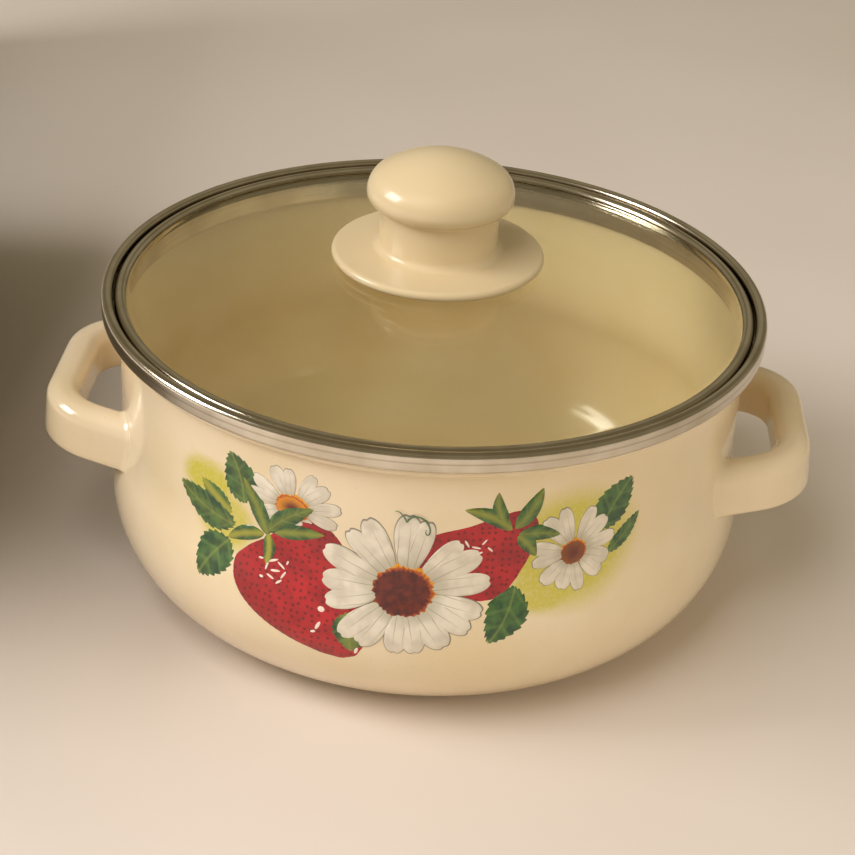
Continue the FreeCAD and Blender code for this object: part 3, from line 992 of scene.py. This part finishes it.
# ---- the lid ---------------------------------------------------------------
@dataclass
class Lid:
    """Domed glass, rolled steel band, moulded knob and the screw stack, sizes in mm."""

    glass_radius: float = 100.8
    bevel: float = 0.6
    thickness: float = 3.8
    crown: float = 115.2
    dome_radius: float = 355.0
    hole: float = 4.5
    band_radius: float = 103.1
    band_sheet: float = 0.5
    band_top: float = 102.8
    band_lip: float = 99.3
    band_floor: float = 96.3
    band_foot: float = 0.8
    skirt_radius: float = 99.7
    skirt_end: float = 90.5

    def dome(self, radius: Array, depth: float) -> Array:
        """Return the height of the dome's face, depth below its top, at each radius."""
        return (self.crown - self.dome_radius) + np.sqrt((self.dome_radius - depth) ** 2 - radius ** 2)

    def glass(self) -> Surface:
        """Spin the glass: domed faces, a ground bevel at both edges and a centre hole."""
        spread = np.linspace(self.hole, self.glass_radius - self.bevel, 40)
        top = np.column_stack((spread, self.dome(spread, 0.0)))
        low = np.column_stack((spread, self.dome(spread, self.thickness)))[::-1]
        edge = Section(*top[-1]).arc(self.glass_radius - 2 * self.bevel, top[-1][1] - self.bevel,
                                     -1, 1).points[:1]
        rim_top = self.dome(np.array([self.glass_radius]), 0.0)[0] - self.bevel
        rim_low = self.dome(np.array([self.glass_radius]), self.thickness)[0] + self.bevel
        rim = np.array([[self.glass_radius, height] for height in np.linspace(rim_top, rim_low, 4)])
        wall = Section(*low[-1]).line(*top[0], 4).points[1:-1]
        return turned(np.vstack((top[:-1], edge, rim, low, wall)), 288)

    def band(self) -> Surface:
        """Spin the band: a skirt inside the neck, a foot under the glass and a bead over its edge."""
        bead = (self.band_radius - self.band_lip) / 2
        foot = self.band_foot
        section = Section(self.skirt_radius, self.skirt_end)
        section.line(self.skirt_radius, self.band_floor - foot)
        section.arc(self.skirt_radius + foot, self.band_floor - foot, -90)
        section.line(self.band_radius - foot, self.band_floor)
        section.arc(self.band_radius - foot, self.band_floor + foot, 90)
        section.line(self.band_radius, self.band_top - bead)
        section.arc(self.band_radius - bead, self.band_top - bead, 168)
        return turned(sheet_loop(section.points, self.band_sheet), 360)

    def build(self) -> None:
        """Place the glass and band, then dress the stack under the knob where the frame has it."""
        placed("domed_glass", self.glass(), LidGlass().material(), "lid", "glass", "lid_glass")
        placed("lid_steel_band", self.band(), PolishedSteel(roughness=0.11).material("rolled_stainless"),
               "lid", "polished_trim", "lid_band")
        silicone = Plain("grey_silicone", "#CFCBC0", "#BDB8AB", 0.55, 0.0, 0.8)
        finishes = {
            "knob_insert": Plain("turned_brass", "#C9A04E", "#A67F38", 0.3, 1.0, 0.5),
            "knob_gasket": silicone,
            "glass_gasket": silicone,
            "lid_washer": Plain("stamped_stainless", "#C9C6C0", "#ABA79F", 0.28, 1.0, 0.7),
            "lid_screw": Plain("zinc_plated_screw", "#C6C3BC", "#9F9B93", 0.25, 1.0, 0.6),
        }
        for node, finish in finishes.items():
            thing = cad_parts[node]
            thing.data.materials.clear()
            thing.data.materials.append(bpy.data.materials.get(finish.name) or finish.material())


@dataclass
class Knob:
    """The moulded knob: flange, waist and round grip, hollow round its screw boss, sizes in mm."""

    flange_radius: float = 34.1
    floor: float = 114.0
    edge: float = 1.55
    slope: float = 3.0
    fillet: float = 2.5
    waist: float = 19.0
    ball_radius: float = 23.5
    ball_half: float = 12.8
    ball_edge: float = 8.5
    ball_under: float = 4.0
    neck_fillet: float = 2.0
    ball_centre: float = 136.4
    wall: float = 3.2
    boss: float = 8.0
    boss_floor: float = 116.2
    bore: float = 4.0
    bore_top: float = 130.2

    def outer(self) -> Array:
        """Return the outer face from the flange's floor to the crown: edge, slope, fillet, grip."""
        slope = math.radians(self.slope)
        rim = self.flange_radius - self.edge
        section = Section(rim - 2.0, self.floor).line(rim, self.floor, 2)
        section.arc(rim, self.floor + self.edge, 180 - self.slope, 12)
        foot_r = self.waist + self.fillet * (1 - math.sin(slope))
        last = section.points[-1]
        foot_z = last[1] + (last[0] - foot_r) * math.tan(slope)
        section.line(foot_r, foot_z, 6)
        section.arc(self.waist + self.fillet, foot_z + self.fillet * math.cos(slope), self.slope - 90, 6)
        side = self.ball_radius - self.ball_edge
        under = self.ball_radius - self.ball_under
        blend = self.ball_under + self.neck_fillet
        dip = math.acos((self.waist + self.neck_fillet - under) / blend)
        neck_z = self.ball_centre - blend * math.sin(dip)
        section.line(self.waist, neck_z, 6)
        section.arc(self.waist + self.neck_fillet, neck_z, -math.degrees(dip), 7)
        section.arc(under, self.ball_centre, math.degrees(dip), 6)
        crown = (side ** 2 + self.ball_half ** 2 - self.ball_edge ** 2) / 2 / (self.ball_half - self.ball_edge)
        drop = crown - self.ball_half
        meet = math.degrees(math.atan2(drop, side))
        section.arc(side, self.ball_centre, meet, 4)
        section.arc(0, self.ball_centre - drop, 90 - meet, 3)
        section.points[-1][0] = 0.0
        return section.points

    def hollow(self) -> Array:
        """Return the inside from the bore's top, down the boss and up and over to the flange's floor."""
        inner = self.waist - self.wall
        ceiling = self.ball_centre + self.ball_half - 3 * self.wall
        section = Section(0, self.bore_top).line(self.bore, self.bore_top, 2)
        section.line(self.bore, self.boss_floor, 3)
        section.line(self.boss, self.boss_floor, 2)
        section.line(self.boss, ceiling, 4)
        section.line(inner - self.wall, ceiling, 3)
        section.line(inner, ceiling - self.wall, 3)
        section.line(inner, self.floor + 2 * self.wall, 4)
        section.line(inner + self.wall, self.floor + self.wall, 3)
        section.line(self.flange_radius - 1.3 * self.wall, self.floor + 0.4 * self.wall, 4)
        section.line(self.flange_radius - self.wall, self.floor, 3)
        return section.points

    def build(self) -> None:
        """Place the knob as one closed moulding."""
        section = np.vstack((self.hollow(), self.outer()[1:]))
        placed("cream_knob", turned(section, 240, False), Phenolic().material(), "lid", "knob_plastic",
               "knob")


# ---- the studio ------------------------------------------------------------
@dataclass
class Studio:
    """A pale table, a window lamp on the left, two lamps that no face mirrors, cards and the camera."""

    distance: float = 692.25       # mm from the pot's origin
    elevation: float = 33.70
    azimuth: float = 2.09          # towards +X
    pitch: float = 3.60
    roll: float = -3.31
    lens: float = 83.0
    table: str = "#E8DED4"

    def camera(self) -> None:
        """Aim the camera at the pot's origin, then pitch and roll it and swing it round the axis."""
        tilt = math.radians(self.elevation)
        base = Matrix(((1, 0, 0), (0, math.sin(tilt), -math.cos(tilt)),
                       (0, math.cos(tilt), math.sin(tilt))))
        pose = base @ Matrix.Rotation(math.radians(self.pitch), 3, "X")
        pose = pose @ Matrix.Rotation(math.radians(-self.roll), 3, "Z")
        swing = Matrix.Rotation(math.radians(self.azimuth), 4, "Z")
        place = Matrix.Translation((0, -self.distance * math.cos(tilt) * MM,
                                    self.distance * math.sin(tilt) * MM))
        data = bpy.data.cameras.new("studio_camera")
        data.lens = self.lens
        data.sensor_width = 36.0
        data.clip_start = 0.01
        data.dof.use_dof = False
        view = bpy.data.objects.new("studio_camera", data)
        view.matrix_world = swing @ place @ pose.to_4x4()
        bpy.context.scene.collection.objects.link(view)
        bpy.context.scene.camera = view

    def floor(self) -> None:
        """Lay the table: a wide flat grid with a satin, faintly mottled top."""
        graph = Graph("satin_painted_table", Roughness=0.42, IOR=1.45)
        graph.feed("Base Color", graph.mix(graph.band(graph.noise(260.0, 2.0), 0.3, 0.7),
                                           self.table, "#E2D7CC"))
        graph.bump(graph.noise(4.0, 2.0), 0.02, 0.3)
        side = np.linspace(-3000, 3000, 31)
        x, y = np.meshgrid(side, side)
        grid = np.stack((x, y, np.full_like(x, -0.02)), axis=-1)
        index = np.arange(grid.shape[0] * grid.shape[1]).reshape(grid.shape[:2])
        quads = np.stack((index[:-1, :-1], index[:-1, 1:], index[1:, 1:], index[1:, :-1]), axis=-1)
        mesh = bpy.data.meshes.new("table_top")
        mesh.from_pydata((grid.reshape(-1, 3) * MM).tolist(), [], quads.reshape(-1, 4).tolist())
        mesh.materials.append(graph.material)
        table = bpy.data.objects.new("table_top", mesh)
        bpy.context.scene.collection.objects.link(table)

    def lamp(self, name: str, heading: float, lift: float, away: float, size: tuple[float, float],
             power: float, colour: str, mirrored: bool) -> None:
        """Hang a soft lamp that faces the pot.

        Args:
            name: The lamp's name.
            heading: Direction of the lamp from the pot, degrees from +X towards +Y.
            lift: Degrees above the table.
            away: Distance in metres.
            size: Width and height in metres.
            power: Watts.
            colour: sRGB hex.
            mirrored: Whether glossy faces show the lamp.
        """
        data = bpy.data.lights.new(name, "AREA")
        data.shape = "RECTANGLE"
        data.size, data.size_y = size
        data.energy = power
        data.color = linear(colour)[:3]
        light = bpy.data.objects.new(name, data)
        spin = Matrix.Rotation(math.radians(heading + 90), 4, "Z")
        tip = Matrix.Rotation(math.radians(90 - lift), 4, "X")
        light.matrix_world = spin @ tip @ Matrix.Translation((0, 0, away))
        light.location.z += 0.06
        light.visible_glossy = mirrored
        light.visible_transmission = mirrored
        bpy.context.scene.collection.objects.link(light)

    def card(self, name: str, corners: tuple[tuple[float, float, float], ...], colour: str) -> None:
        """Stand a dull card that shades the scene but is out of the camera's sight.

        Args:
            name: The card's name.
            corners: Its corners in metres.
            colour: sRGB hex.
        """
        graph = Graph(name + "_card", Roughness=0.9)
        graph.feed("Base Color", graph.mix(graph.math("MULTIPLY", graph.noise(90.0, 2.0), 0.3),
                                           colour, "#2E2519"))
        mesh = bpy.data.meshes.new(name)
        mesh.from_pydata(corners, [], [tuple(range(len(corners)))])
        mesh.materials.append(graph.material)
        board = bpy.data.objects.new(name, mesh)
        bpy.context.scene.collection.objects.link(board)
        board.visible_camera = False
        board.visible_glossy = False

    def build(self) -> None:
        """Set the camera, table, lamps and surrounding light."""
        self.camera()
        self.floor()
        self.lamp("window_left", 188, 28, 1.25, (0.5, 0.5), 10.5, "#FFFAF8", True)
        self.lamp("front_soft", 230, 52, 1.6, (1.1, 1.1), 16.0, "#FFFAFA", False)
        self.lamp("right_soft", 322, 20, 1.5, (0.9, 0.7), 6.0, "#FFF4E4", False)
        self.card("left_screen", ((-0.34, -0.16, 0.0), (-0.34, 0.45, 0.0), (-0.34, 0.45, 0.185),
                                  (-0.34, -0.16, 0.185)), "#4A3D2B")
        self.card("left_shade", ((-0.42, -0.10, 0.08), (-0.16, -0.10, 0.08), (-0.16, 0.19, 0.08),
                                 (-0.42, 0.19, 0.08)), "#5A4B35")
        self.card("handle_shade", ((-0.215, -0.12, 0.19), (-0.16, -0.12, 0.19), (-0.16, 0.0, 0.19),
                                   (-0.215, 0.0, 0.19)), "#4A3D2B")
        world = bpy.data.worlds.new("soft_room")
        world.use_nodes = True
        world.node_tree.nodes["Background"].inputs[0].default_value = linear("#CDBF9C")
        world.node_tree.nodes["Background"].inputs[1].default_value = 0.40
        scene = bpy.context.scene
        scene.world = world
        scene.view_settings.view_transform = "Standard"


def main() -> None:
    """Build the pot, its print, the lid and the studio."""
    logging.basicConfig(level=logging.INFO, format="%(name)s: %(message)s")
    pot = Pot()
    pot.build()
    loop_finish = Enamel().material()
    for side in (1, -1):
        Handle(pot, side).build(loop_finish)
    PrintedFlowers(pot).build()
    Lid().build()
    Knob().build()
    Studio().build()


if __name__ == "__main__":
    main()
